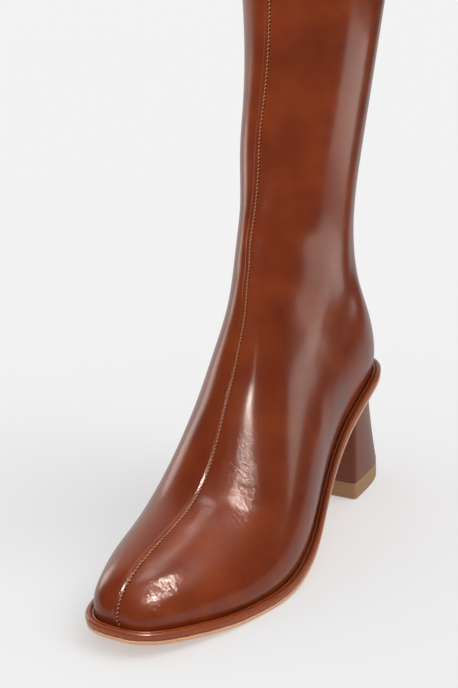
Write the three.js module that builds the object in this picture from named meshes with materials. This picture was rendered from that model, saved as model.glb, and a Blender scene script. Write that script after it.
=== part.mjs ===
// Knee-high boot for the left foot: hollow leather upper, welt with two beads all round, thin
// outsole, insole, flared block heel and thick top lift. Millimetres, +Z up, toe towards -Y and
// the outer (lateral) side towards +X. The boot stands empty on its sole.
import * as THREE from "three";

// Driving sizes, EU 40.
const wall = 2.0; // upper leather and lining together
const gap = 0.3; // between pieces that only touch
const shaftTop = 455; // collar above the floor
const soleThickness = 2.8;
const insoleThickness = 2.2;
const insoleGap = 0.8; // round the insole's edge
const weltGap = 0.5; // between the upper and the welt
const weltReach = 5.4; // how far the welt stands out from the upper
const liftHeight = 11;

// Mesh density.
const toeRows = 3;
const footRows = 34;
const shaftRows = 14;
const around = 40;

// Sections of the last and the leg, from the tip of the toe to the collar. Each is a closed loop in
// a plane that is upright at the toe, tips back over the instep and lies level up the shaft.
// f is the distance forward of the heel's back and z the height above the floor: (fBack, zBack) is
// the loop's lowest or rearmost point, and (fFront, zFront) its point on the centre-front seam.
// half is half the width, low moves the widest place towards the back point, square fills the
// corners, xBack and xFront swing the two ends sideways, and twist turns the leg, in degrees, so
// that the seam moves to the inner side.
const sectionColumns = "fBack zBack fFront zFront half low square xBack xFront twist".split(" ");
const sections = [
  [252, 15, 252, 15, 0, 0, 0, -7, -8, 0],
  [251, 7, 249.5, 24, 12.5, 0.05, 0.02, -7, -8, 0],
  [243, 2, 241.5, 31.5, 22, 0.1, 0.02, -6.5, -7.8, 0],
  [229.5, -1.5, 227.5, 38, 30, 0.15, 0.02, -5, -7, 0],
  [211.5, -3.5, 208.5, 44.5, 38.5, 0.2, 0.02, -3.3, -4.5, 0],
  [191, -5, 186, 54.5, 44, 0.25, 0.02, -1, -1.5, 0],
  [167, -10, 168, 72, 45.5, 0.28, 0.01, 0.3, -0.3, 0],
  [137, -7, 154.5, 91.5, 43.5, 0.25, 0, 1.3, -0.3, 0],
  [108, 9, 142, 108, 40, 0.2, 0, 1, -1, 0],
  [78, 25.5, 131.5, 123.5, 37, 0.15, 0, 0, -2, 0],
  [46, 38.5, 121, 138.5, 35.5, 0.15, 0, -1.2, -3, 1],
  [16.5, 47, 112.5, 153, 34.8, 0.18, 0, -1.8, -3.8, 3],
  [-1, 70.5, 104.5, 168, 35, 0.18, 0, -2, -4, 5],
  [-0.5, 96, 98, 182, 33, 0.15, 0, -2.5, -5.2, 5],
  [8, 121, 92.5, 196.5, 30.2, 0.1, 0, -3, -6, 5],
  [12.5, 146.5, 90, 212.5, 29.5, 0.05, 0, -3, -5.5, 5],
  [14, 175, 88.5, 231, 30.2, 0.02, 0, -2, -4, 6],
  [11, 208, 86, 252, 32, 0, 0, 0, -0.5, 7.5],
  [6, 248, 84.5, 280.5, 35.2, 0, 0, 2.2, 4, 9],
  [-0.5, 295, 84.5, 315, 40, 0, 0, 4, 7.5, 10],
  [-9.5, 345, 86.5, 355.5, 45.5, 0, 0, 5.5, 10, 10],
  [-16.5, 400, 90, 404.5, 51, 0, 0, 6, 11, 10],
  [-20, shaftTop, 93.5, shaftTop, 55, 0, 0, 6, 11, 10],
];

// Top of the outsole above the floor, forward of the heel's back: seat, arch, ball and toe spring.
const soleColumns = "f z".split(" ");
const soleTop = [
  [-12, 73.5],
  [0, 74.5],
  [21, 73],
  [44, 66],
  [68, 54.5],
  [95, 39],
  [121, 23],
  [147, 10.5],
  [170, 4],
  [191, 2.55],
  [212, 3.6],
  [233, 6.2],
  [252, 9.2],
  [264, 11.5],
];

// The heel under the seat and at the block's foot: breast and back forward of the heel's back,
// half its width, and the power that rounds its rear corners.
const heelColumns = "breast back half roundness".split(" ");
const heelSeat = [46, 0, 28, 2.4];
const heelFoot = [49, -4.5, 29, 3.4];
const heelCorner = 2.2; // bevel of the two breast corners
const heelFlare = 1.8; // power of the concave sides
const heelLevels = 7;
const heelSide = 13; // points from the breast to the middle of the back

function column(rows, names, name) {
  const at = names.indexOf(name);
  return rows.map((row) => row[at]);
}

// Cubic spline through (knots, values), free at both ends or with a level start.
function cubic(knots, values, levelStart = false) {
  const n = knots.length;
  const step = knots.slice(1).map((k, i) => k - knots[i]);
  const slope = step.map((h, i) => (values[i + 1] - values[i]) / h);
  const diagonal = new Array(n).fill(1);
  const upper = new Array(n).fill(0);
  const right = new Array(n).fill(0);
  if (levelStart) {
    diagonal[0] = 2 * step[0];
    upper[0] = step[0];
    right[0] = 6 * slope[0];
  }
  for (let i = 1; i < n - 1; i++) {
    const ratio = step[i - 1] / diagonal[i - 1];
    diagonal[i] = 2 * (step[i - 1] + step[i]) - ratio * upper[i - 1];
    upper[i] = step[i];
    right[i] = 6 * (slope[i] - slope[i - 1]) - ratio * right[i - 1];
  }
  const bend = new Array(n).fill(0);
  for (let i = n - 2; i >= 0; i--) bend[i] = (right[i] - upper[i] * bend[i + 1]) / diagonal[i];
  return (x) => {
    let i = 0;
    while (i < n - 2 && x > knots[i + 1]) i++;
    const h = step[i];
    const a = (knots[i + 1] - x) / h;
    const b = (x - knots[i]) / h;
    const curve = ((a ** 3 - a) * bend[i] + (b ** 3 - b) * bend[i + 1]) * (h * h) / 6;
    return a * values[i] + b * values[i + 1] + curve;
  };
}

// A section's place along the form grows with how far its ends and its sides have moved.
const place = [0];
for (let i = 1; i < sections.length; i++) {
  const moved = sections[i].map((value, c) => value - sections[i - 1][c]);
  const [fBack, zBack, fFront, zFront, half] = moved;
  const ends = 0.5 * (fBack ** 2 + zBack ** 2 + fFront ** 2 + zFront ** 2);
  place.push(place[i - 1] + Math.sqrt(ends + half ** 2));
}
const lastPlace = place[place.length - 1];
const section = {};
for (const name of sectionColumns) {
  section[name] = cubic(place, column(sections, sectionColumns, name), name[0] === "f");
}
const soleHeight = cubic(column(soleTop, soleColumns, "f"), column(soleTop, soleColumns, "z"));

// Point of the form: x outwards, y backwards from the heel's back, z up. turn runs round the
// section from its back point (0) over the outer side to the seam (pi) and on round the inner side.
function formPoint(t, turn) {
  const c = {};
  for (const name of sectionColumns) c[name] = section[name](t);
  const across = Math.sin(turn) * (1 + c.low * Math.cos(turn)) + c.square * Math.sin(3 * turn);
  const rise = (1 - Math.cos(turn)) / 2;
  const middle = new THREE.Vector2((c.xBack + c.xFront) / 2, (c.fBack + c.fFront) / 2);
  const plan = new THREE.Vector2(
    THREE.MathUtils.lerp(c.xBack, c.xFront, rise) + c.half * across,
    THREE.MathUtils.lerp(c.fBack, c.fFront, rise),
  ).rotateAround(middle, THREE.MathUtils.degToRad(c.twist));
  return new THREE.Vector3(plan.x, -plan.y, THREE.MathUtils.lerp(c.zBack, c.zFront, rise));
}

// The same point moved inwards by depth, square to the surface.
function offsetPoint(t, turn, depth) {
  const point = formPoint(t, turn);
  if (depth === 0) return point;
  if (t === 0) return point.add(new THREE.Vector3(0, depth, 0));
  const small = 1e-3;
  const along = formPoint(t + small, turn).sub(formPoint(t - small, turn));
  const round = formPoint(t, turn + small).sub(formPoint(t, turn - small));
  const inwards = round.cross(along).normalize();
  return point.addScaledVector(inwards, depth);
}

function bisect(low, high, isLow) {
  for (let i = 0; i < 40; i++) {
    const middle = (low + high) / 2;
    if (isLow(middle)) low = middle;
    else high = middle;
  }
  return (low + high) / 2;
}

// Rows of the form, inset by depth, that keep to what lies more than height above the sole's top.
// Each row has its place t and the turns where it starts (outer side) and ends (inner side).
function formRows(depth, height) {
  const clear = (t, turn) => {
    const point = offsetPoint(t, turn, depth);
    return point.z - soleHeight(-point.y) - height;
  };
  const underBall = place[5];
  const toe = bisect(0, underBall, (t) => clear(t, 0) > 0);
  const back = bisect(underBall, place[13], (t) => clear(t, 0) < 0);
  const rows = [];
  for (let i = 0; i < toeRows; i++) rows.push({ t: (toe * i) / toeRows, outer: 0, inner: 0 });
  for (let i = 0; i <= footRows; i++) {
    const t = toe + (back - toe) * 0.5 * (1 - Math.cos((Math.PI * i) / footRows));
    const ends = i === 0 || i === footRows;
    const edge = (side) => (ends ? 0 : bisect(0, Math.PI, (turn) => clear(t, side * turn) < 0));
    rows.push({ t, outer: edge(1), inner: edge(-1) });
  }
  for (let i = 1; i <= shaftRows; i++) {
    rows.push({ t: back + ((lastPlace - back) * i) / shaftRows, outer: 0, inner: 0 });
  }
  return rows;
}

// Grid of points over those rows, closed on itself where a row runs all the way round.
function formGrid(depth, height) {
  return formRows(depth, height).map((row) => {
    const span = 2 * Math.PI - row.outer - row.inner;
    const points = [];
    for (let j = 0; j <= around; j++) {
      points.push(offsetPoint(row.t, row.outer + (span * j) / around, depth));
    }
    if (row.outer === 0) points[around] = points[0];
    if (row.t === lastPlace) for (const point of points) point.z = shaftTop;
    return points;
  });
}

// Closed line round the form at a height above the sole's top: down the outer side from the toe to
// the heel's back, and up the inner side.
function outline(depth, height) {
  const rows = formRows(depth, height).slice(toeRows, toeRows + footRows + 1);
  const outer = rows.map((row) => offsetPoint(row.t, row.outer, depth));
  const inner = rows.map((row) => offsetPoint(row.t, -row.inner, depth));
  return [...outer, ...inner.slice(1, -1).reverse()];
}

// The outline moved outwards in plan by reach, each point set at height above the sole's top.
function spread(line, reach, height) {
  const n = line.length;
  return line.map((point, i) => {
    const before = line[(i + n - 1) % n];
    const after = line[(i + 1) % n];
    const way = new THREE.Vector2(after.x - before.x, after.y - before.y).normalize();
    const x = point.x + way.y * reach;
    const y = point.y - way.x * reach;
    return new THREE.Vector3(x, y, Math.max(0, soleHeight(-y) + height));
  });
}

// One closed body from quads, with its faces turned outwards.
class Body {
  constructor() {
    this.corners = [];
  }
  triangle(a, b, c) {
    if (a.equals(b) || b.equals(c) || c.equals(a)) return;
    this.corners.push(a, b, c);
  }
  quad(a, b, c, d) {
    this.triangle(a, b, c);
    this.triangle(a, c, d);
  }
  // Quads between neighbouring lines of points, each line open or closed.
  skin(lines, closed) {
    for (let i = 0; i + 1 < lines.length; i++) {
      const last = lines[i].length - (closed ? 0 : 1);
      for (let j = 0; j < last; j++) {
        const next = (j + 1) % lines[i].length;
        this.quad(lines[i][j], lines[i][next], lines[i + 1][next], lines[i + 1][j]);
      }
    }
  }
  // A face across a closed line whose two sides mirror each other about its first point.
  cap(line, facing) {
    const n = line.length;
    for (let i = 0; i < n / 2; i++) {
      const face = [line[i], line[i + 1], line[(n - i - 1) % n], line[(n - i) % n]];
      this.quad(...(facing > 0 ? face : face.reverse()));
    }
  }
  mesh(name, finish) {
    const geometry = new THREE.BufferGeometry().setFromPoints(this.corners);
    geometry.computeVertexNormals();
    const mesh = new THREE.Mesh(geometry, new THREE.MeshStandardMaterial(finish));
    mesh.name = name;
    return mesh;
  }
}

function makeUpper() {
  const outside = formGrid(0, gap);
  const inside = formGrid(wall, gap);
  const body = new Body();
  body.skin([...outside].reverse(), false);
  body.skin(inside, false);
  const rim = (i, j) => [outside[i][j], inside[i][j]];
  for (let i = toeRows; i < toeRows + footRows; i++) {
    body.skin([rim(i, 0), rim(i + 1, 0)], false);
    body.skin([rim(i + 1, around), rim(i, around)], false);
  }
  const top = outside.length - 1;
  body.skin([inside[top], outside[top]], false);
  return body.mesh("upper", { color: "#6b3521", roughness: 0.28, metalness: 0 });
}

function makeWelt() {
  const base = outline(0, 3.2);
  const lines = [
    outline(-weltGap, gap),
    outline(-weltGap, 2.4),
    spread(base, 0.9, 4.0),
    spread(base, 1.6, 3.8),
    spread(base, 2.0, 3.0),
    spread(base, 2.6, 4.0),
    spread(base, 3.8, 4.5),
    spread(base, 4.8, 3.9),
    spread(base, weltReach, 2.6),
    spread(base, weltReach - 0.3, gap),
  ];
  const body = new Body();
  body.skin([...lines, lines[0]].reverse(), true);
  return body.mesh("welt", { color: "#6a3a2a", roughness: 0.3, metalness: 0 });
}

function makeOutsole() {
  const base = outline(0, 3.2);
  const top = spread(base, weltReach - 0.5, 0);
  const bottom = spread(base, weltReach - 1.0, -soleThickness);
  const body = new Body();
  body.skin([bottom, spread(base, weltReach - 0.3, -1.2), top], true);
  body.cap(top, 1);
  body.cap(bottom, -1);
  return body.mesh("outsole", { color: "#c79a72", roughness: 0.55, metalness: 0 });
}

function makeInsole() {
  const bottom = outline(wall + insoleGap, gap);
  const top = outline(wall + insoleGap, gap + insoleThickness);
  const body = new Body();
  body.skin([bottom, top], true);
  body.cap(top, 1);
  body.cap(bottom, -1);
  return body.mesh("insole", { color: "#b98f6a", roughness: 0.7, metalness: 0 });
}

// Heel outline at a share of the way down from seat (0) to foot (1), before heights are set: from
// the middle of the back round the inner side, along the breast and back round the outer side.
function heelOutline(down) {
  const heel = {};
  for (const [i, name] of heelColumns.entries()) {
    heel[name] = THREE.MathUtils.lerp(heelSeat[i], heelFoot[i], down);
  }
  const { breast, back, half, roundness } = heel;
  const side = [];
  for (let i = 0; i <= heelSide; i++) {
    const angle = (Math.PI / 2) * (i / heelSide);
    const x = half * Math.sin(angle) ** (2 / roundness);
    const f = breast - heelCorner - (breast - heelCorner - back) * Math.cos(angle) ** (2 / roundness);
    side.push(new THREE.Vector2(-x, -f));
  }
  side.push(new THREE.Vector2(0.3 * heelCorner - half, 0.3 * heelCorner - breast));
  side.push(new THREE.Vector2(heelCorner - half, -breast));
  side.push(new THREE.Vector2(0, -breast));
  const mirrored = side.slice(1, -1).reverse().map((p) => new THREE.Vector2(-p.x, p.y));
  return [...side, ...mirrored];
}

function makeHeel() {
  const foot = liftHeight + gap;
  const lines = [];
  for (let level = 0; level <= heelLevels; level++) {
    const down = level / heelLevels;
    lines.push(
      heelOutline(down ** heelFlare).map((p) => {
        const seat = soleHeight(-p.y) - soleThickness - gap;
        return new THREE.Vector3(p.x, p.y, THREE.MathUtils.lerp(seat, foot, down));
      }),
    );
  }
  const body = new Body();
  body.skin([...lines].reverse(), true);
  body.cap(lines[0], 1);
  body.cap(lines[heelLevels], -1);
  return body.mesh("heel", { color: "#6f3f2e", roughness: 0.4, metalness: 0 });
}

function makeTopLift() {
  const line = heelOutline(1);
  const top = line.map((p) => new THREE.Vector3(p.x, p.y, liftHeight));
  const bottom = line.map((p) => new THREE.Vector3(p.x, p.y, 0));
  const body = new Body();
  body.skin([bottom, top], true);
  body.cap(top, 1);
  body.cap(bottom, -1);
  return body.mesh("top_lift", { color: "#84684c", roughness: 0.6, metalness: 0 });
}

const boot = new THREE.Group();
boot.add(makeUpper(), makeWelt(), makeOutsole(), makeInsole(), makeHeel(), makeTopLift());

// The frame's origin is the middle of the bounding box, at the floor.
const box = new THREE.Box3().setFromObject(boot);
const middle = box.getCenter(new THREE.Vector3());
for (const piece of boot.children) piece.geometry.translate(-middle.x, -middle.y, -box.min.z);

export default boot;
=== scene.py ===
import math

import bpy
import numpy as np
from mathutils import Matrix, Vector


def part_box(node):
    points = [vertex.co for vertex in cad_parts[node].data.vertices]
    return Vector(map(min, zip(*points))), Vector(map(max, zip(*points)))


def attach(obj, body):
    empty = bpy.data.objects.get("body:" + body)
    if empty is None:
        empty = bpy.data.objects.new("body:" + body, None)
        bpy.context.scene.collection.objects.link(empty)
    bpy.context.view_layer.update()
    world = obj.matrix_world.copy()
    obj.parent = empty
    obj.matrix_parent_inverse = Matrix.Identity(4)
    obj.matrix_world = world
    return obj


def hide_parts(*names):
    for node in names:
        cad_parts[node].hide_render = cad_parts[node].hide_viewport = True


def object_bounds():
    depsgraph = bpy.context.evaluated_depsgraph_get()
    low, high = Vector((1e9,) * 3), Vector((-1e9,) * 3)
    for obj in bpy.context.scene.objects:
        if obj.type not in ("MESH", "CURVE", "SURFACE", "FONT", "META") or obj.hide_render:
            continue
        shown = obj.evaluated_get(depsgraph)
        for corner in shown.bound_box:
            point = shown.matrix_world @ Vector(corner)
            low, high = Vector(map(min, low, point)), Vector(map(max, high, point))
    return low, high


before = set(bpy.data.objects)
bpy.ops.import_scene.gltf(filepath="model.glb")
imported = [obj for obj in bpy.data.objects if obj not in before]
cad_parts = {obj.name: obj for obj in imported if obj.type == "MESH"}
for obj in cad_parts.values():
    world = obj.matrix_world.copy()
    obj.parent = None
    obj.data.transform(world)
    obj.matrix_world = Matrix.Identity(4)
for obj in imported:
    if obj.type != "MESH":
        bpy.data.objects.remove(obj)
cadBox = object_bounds()
print("frame loaded")

# Lasted form of the boot in millimetres: f runs forward from the heel's back, z up from the floor.
form = {
    "columns": "fBack zBack fFront zFront half low square xBack xFront twist".split(),
    "sections": [
        [252, 15, 252, 15, 0, 0, 0, -7, -8, 0],
        [251, 7, 249.5, 24, 12.5, 0.05, 0.02, -7, -8, 0],
        [243, 2, 241.5, 31.5, 22, 0.1, 0.02, -6.5, -7.8, 0],
        [229.5, -1.5, 227.5, 38, 30, 0.15, 0.02, -5, -7, 0],
        [211.5, -3.5, 208.5, 44.5, 38.5, 0.2, 0.02, -3.3, -4.5, 0],
        [191, -5, 186, 54.5, 44, 0.25, 0.02, -1, -1.5, 0],
        [167, -10, 168, 72, 45.5, 0.28, 0.01, 0.3, -0.3, 0],
        [137, -7, 154.5, 91.5, 43.5, 0.25, 0, 1.3, -0.3, 0],
        [108, 9, 142, 108, 40, 0.2, 0, 1, -1, 0],
        [78, 25.5, 131.5, 123.5, 37, 0.15, 0, 0, -2, 0],
        [46, 38.5, 121, 138.5, 35.5, 0.15, 0, -1.2, -3, 1],
        [16.5, 47, 112.5, 153, 34.8, 0.18, 0, -1.8, -3.8, 3],
        [-1, 70.5, 104.5, 168, 35, 0.18, 0, -2, -4, 5],
        [-0.5, 96, 98, 182, 33, 0.15, 0, -2.5, -5.2, 5],
        [8, 121, 92.5, 196.5, 30.2, 0.1, 0, -3, -6, 5],
        [12.5, 146.5, 90, 212.5, 29.5, 0.05, 0, -3, -5.5, 5],
        [14, 175, 88.5, 231, 30.2, 0.02, 0, -2, -4, 6],
        [11, 208, 86, 252, 32, 0, 0, 0, -0.5, 7.5],
        [6, 248, 84.5, 280.5, 35.2, 0, 0, 2.2, 4, 9],
        [-0.5, 295, 84.5, 315, 40, 0, 0, 4, 7.5, 10],
        [-9.5, 345, 86.5, 355.5, 45.5, 0, 0, 5.5, 10, 10],
        [-16.5, 400, 90, 404.5, 51, 0, 0, 6, 11, 10],
        [-20, 455, 93.5, 455, 55, 0, 0, 6, 11, 10],
    ],
    "soleTop": [
        [-12, 73.5], [0, 74.5], [21, 73], [44, 66], [68, 54.5], [95, 39], [121, 23],
        [147, 10.5], [170, 4], [191, 2.55], [212, 3.6], [233, 6.2], [252, 9.2], [264, 11.5],
    ],
    "wall": 2.0,
    "gap": 0.3,
    "heelOverhang": 4.5,  # how far the lift's back stands behind the heel's back
}
liftLow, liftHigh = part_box("top_lift")
origin = np.array([
    (liftLow[0] + liftHigh[0]) / 2,
    liftHigh[1] - form["heelOverhang"] / 1000,
    0.0,
])


def cubic(knots, values, levelStart=False):
    # spline through (knots, values), free at both ends or with a level start
    knots, values = np.asarray(knots, float), np.asarray(values, float)
    n = len(knots)
    step = np.diff(knots)
    slope = np.diff(values) / step
    system, right = np.eye(n), np.zeros(n)
    if levelStart:
        system[0, :2] = 2 * step[0], step[0]
        right[0] = 6 * slope[0]
    for i in range(1, n - 1):
        system[i, i - 1 : i + 2] = step[i - 1], 2 * (step[i - 1] + step[i]), step[i]
        right[i] = 6 * (slope[i] - slope[i - 1])
    bend = np.linalg.solve(system, right)

    def curve(x):
        x = np.asarray(x, float)
        i = np.clip(np.searchsorted(knots, x) - 1, 0, n - 2)
        h = step[i]
        a = (knots[i + 1] - x) / h
        b = (x - knots[i]) / h
        bow = ((a**3 - a) * bend[i] + (b**3 - b) * bend[i + 1]) * h * h / 6
        return a * values[i] + b * values[i + 1] + bow

    return curve


sections = np.array(form["sections"], float)
moved = np.diff(sections[:, :5], axis=0)
steps = np.sqrt(0.5 * (moved[:, :4] ** 2).sum(1) + moved[:, 4] ** 2)
sectionAt = np.concatenate([[0], np.cumsum(steps)])  # each section's place along the form
lastPlace = sectionAt[-1]
section = {
    name: cubic(sectionAt, sections[:, i], name[0] == "f")
    for i, name in enumerate(form["columns"])
}
soleHeight = cubic(*np.array(form["soleTop"], float).T)


def acrossShare(t, turn):
    # how far out a point lies, as a share of its section's half width
    low, square = section["low"](t), section["square"](t)
    return np.sin(turn) * (1 + low * np.cos(turn)) + square * np.sin(3 * turn)


def formPoint(t, turn):
    # turn runs from the section's back point over the outer side to the front seam and on round
    c = {name: section[name](t) for name in form["columns"]}
    rise = (1 - np.cos(turn)) / 2
    x = (c["xFront"] - c["xBack"]) * (rise - 0.5) + c["half"] * acrossShare(t, turn)
    f = (c["fFront"] - c["fBack"]) * (rise - 0.5)
    angle = np.radians(c["twist"])
    return np.stack([
        (c["xBack"] + c["xFront"]) / 2 + x * np.cos(angle) - f * np.sin(angle),
        -((c["fBack"] + c["fFront"]) / 2 + f * np.cos(angle) + x * np.sin(angle)),
        c["zBack"] + (c["zFront"] - c["zBack"]) * rise,
    ], -1)


def unit(v):
    return v / np.maximum(np.linalg.norm(v, axis=-1, keepdims=True), 1e-12)


smallStep = 1e-3  # of a place or a turn, for slopes


def inwards(t, turn):
    along = formPoint(t + smallStep, turn) - formPoint(t - smallStep, turn)
    around = formPoint(t, turn + smallStep) - formPoint(t, turn - smallStep)
    way = unit(np.cross(around, along))
    tip = np.broadcast_to(np.asarray(t) < 1e-6, way.shape[:-1])
    way[tip] = 0, 1, 0
    return way


def perTurnAt(t, turn):
    # millimetres that the surface runs for a turn of one radian
    arc = formPoint(t, turn + smallStep) - formPoint(t, turn - smallStep)
    return np.linalg.norm(arc, axis=-1) / (2 * smallStep)


def offsetPoint(t, turn, depth):
    point = formPoint(t, turn)
    return point if depth == 0 else point + depth * inwards(t, turn)


def clearance(t, turn, depth, height):
    point = offsetPoint(t, turn, depth)
    return point[..., 2] - soleHeight(-point[..., 1]) - height


def bisect(low, high, isLow):
    for _ in range(40):
        middle = (low + high) / 2
        below = isLow(middle)
        low = np.where(below, middle, low)
        high = np.where(below, high, middle)
    return (low + high) / 2


density = {
    "toeRows": 9,
    "footRows": 200,
    "shaftRows": 120,
    "sideColumns": 100,
    "seamColumns": 36,
    "seamBand": 4.5,  # millimetres to each side of the front seam that the seam's columns fill
    "seamBandTurn": 0.45,  # radians, the most that they fill at the toe's tip
    "liningStep": 4,  # the lining's faces span this many rows and columns
}


def formRows(depth, height):
    # place t of every row, and the turns where it starts (outer side) and ends (inner side)
    zero = np.zeros(1)
    ball, heel = sectionAt[5] + zero, sectionAt[13] + zero
    toe = bisect(zero, ball, lambda t: clearance(t, zero, depth, height) > 0)[0]
    back = bisect(ball, heel, lambda t: clearance(t, zero, depth, height) < 0)[0]
    n, m = density["footRows"], density["toeRows"]
    foot = toe + (back - toe) * 0.5 * (1 - np.cos(np.pi * np.arange(n + 1) / n))
    edges = []
    for side in (1, -1):
        low, high = np.zeros(n + 1), np.full(n + 1, np.pi)
        edge = bisect(low, high, lambda turn: clearance(foot, side * turn, depth, height) < 0)
        edge[[0, -1]] = 0
        edges.append(edge)
    shaft = back + (lastPlace - back) * np.arange(1, density["shaftRows"] + 1) / density["shaftRows"]
    t = np.concatenate([toe * np.arange(m) / m, foot, shaft])
    outer, inner = [np.concatenate([np.zeros(m), edge, np.zeros(len(shaft))]) for edge in edges]
    return t, outer, inner


def outline(depth, height):
    # closed line round the form: down the outer side from toe to heel, up the inner side
    t, outer, inner = formRows(depth, height)
    foot = slice(density["toeRows"], density["toeRows"] + density["footRows"] + 1)
    a = offsetPoint(t[foot], outer[foot], depth)
    b = offsetPoint(t[foot], -inner[foot], depth)
    return np.concatenate([a, b[1:-1][::-1]])


def spread(line, reach, height):
    way = unit((np.roll(line, -1, 0) - np.roll(line, 1, 0))[:, :2])
    x = line[:, 0] + way[:, 1] * reach
    y = line[:, 1] - way[:, 0] * reach
    return np.stack([x, y, np.maximum(0, soleHeight(-y) + height)], -1)


def smoothStep(x, low, high):
    u = np.clip((x - low) / (high - low), 0, 1)
    return u * u * (3 - 2 * u)


def linear(hexColour):
    # sRGB hex to linear RGBA
    parts = [int(hexColour[i : i + 2], 16) / 255 for i in (1, 3, 5)]
    return [p / 12.92 if p <= 0.04045 else ((p + 0.055) / 1.055) ** 2.4 for p in parts] + [1]


def addNode(owner, kind, settings=None, inputs=None):
    tree = owner.node_tree if hasattr(owner, "node_tree") else owner
    node = tree.nodes.new(kind)
    for name, value in (settings or {}).items():
        setattr(node, name, value)
    for name, value in (inputs or {}).items():
        if isinstance(value, bpy.types.NodeSocket):
            tree.links.new(value, node.inputs[name])
        else:
            node.inputs[name].default_value = value
    return node


def bareMaterial(name):
    material = bpy.data.materials.new(name)
    material.use_nodes = True
    material.node_tree.nodes.clear()
    return material


def newMaterial(name, surface):
    material = bareMaterial(name)
    shader = addNode(material, "ShaderNodeBsdfPrincipled", None, surface)
    addNode(material, "ShaderNodeOutputMaterial", None, {"Surface": shader.outputs[0]})
    return material, shader


def join(material, source, target):
    material.node_tree.links.new(source, target)


def compute(owner, how, first, second=0.0):
    return addNode(owner, "ShaderNodeMath", {"operation": how}, {0: first, 1: second}).outputs[0]


def objectSpace(material):
    return addNode(material, "ShaderNodeTexCoord").outputs["Object"]


def fade(owner, value, start, end, before, after):
    # a soft change from one level before the start to another after the end
    node = addNode(owner, "ShaderNodeMapRange", {"interpolation_type": "SMOOTHSTEP"}, {
        "Value": value, "From Min": start, "From Max": end, "To Min": before, "To Max": after,
    })
    return node.outputs[0]


def mixColour(material, share, first, second):
    node = addNode(material, "ShaderNodeMix", {"data_type": "RGBA"})
    for index, value in ((0, share), (6, first), (7, second)):
        if isinstance(value, bpy.types.NodeSocket):
            join(material, value, node.inputs[index])
        else:
            node.inputs[index].default_value = value
    return node.outputs[2]


def place(name, data):
    piece = bpy.data.objects.new(name, data)
    bpy.context.scene.collection.objects.link(piece)
    return piece


def meshPiece(name, points, faces, materials, faceMaterial=None, uv=None, smooth=180):
    # points in millimetres of the form become a named object in the frame's metres
    used, inverse = np.unique(np.concatenate([np.asarray(f) for f in faces]), return_inverse=True)
    cuts = np.cumsum([len(f) for f in faces])[:-1]
    mesh = bpy.data.meshes.new(name)
    corners = [f.tolist() for f in np.split(inverse, cuts)]
    mesh.from_pydata((points[used] / 1000 + origin).tolist(), [], corners)
    for material in materials:
        mesh.materials.append(material)
    if faceMaterial is not None:
        mesh.polygons.foreach_set("material_index", faceMaterial)
    if uv is not None:
        layer = mesh.uv_layers.new(name="leather")
        layer.data.foreach_set("uv", np.asarray(uv, np.float32).ravel())
    mesh.shade_smooth()
    if smooth < 180:
        mesh.set_sharp_from_angle(angle=math.radians(smooth))
    mesh.update()
    return place(name, mesh)


def ringPiece(name, lines, materials, caps=True, **rest):
    # closed lines stacked from bottom to top: faces across the first and the last, or joined round
    n = len(lines[0])
    points = np.concatenate(lines)
    faces = []
    for i in range(len(lines) - 1 if caps else len(lines)):
        a, b = i * n, ((i + 1) % len(lines)) * n
        for j in range(n):
            k = (j + 1) % n
            faces.append([a + j, a + k, b + k, b + j])
    if caps:
        top = (len(lines) - 1) * n
        for i in range((n + 1) // 2):
            ids = [i, i + 1, (n - i - 1) % n, (n - i) % n]
            for base, order in ((top, 1), (0, -1)):
                ring = [base + k for k in list(dict.fromkeys(ids))[::order]]
                if len(ring) > 2:
                    faces.append(ring)
    return meshPiece(name, points, faces, materials, **rest)


stitchLook = {  # millimetres
    "pitch": 2.1,
    "length": 1.9,
    "thick": 0.62,
    "lean": 32,  # degrees by which each stitch's upper end turns to the outer side
    "line": 1.1,  # how far the stitches run beside the seam, on its outer side
    "aboveWelt": 0.8,  # the line starts this far above the welt under the toe's tip
    "belowCollar": 3,  # and stops this far below the collar
    "hole": (0.5, 0.48, 0.22),  # half sizes along the line, across it and into the leather
    "holeAside": 0.34,  # how far the holes lie outside the stitches
    "thread": "#c8835a",
    "threadSecond": "#ab6741",
}

upperLook = {
    "deep": "#632309",
    "middle": "#6e2a0c",
    "warm": "#7b330f",
    "channel": 0.6,  # share of the darker colour beside the seam: wax darkening together with painted shade of the stitch groove
    "channelShadeHex": "#451808",
    "channelShadeMm": (0.3, 1.0),  # where that colour starts and ends to fade, from the line of stitches
    "roughness": 0.25,
    "grainMm": 0.7,  # pores of the calf
    "mottleMm": 26,
    "wrinkleMm": 2.3,
}


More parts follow.
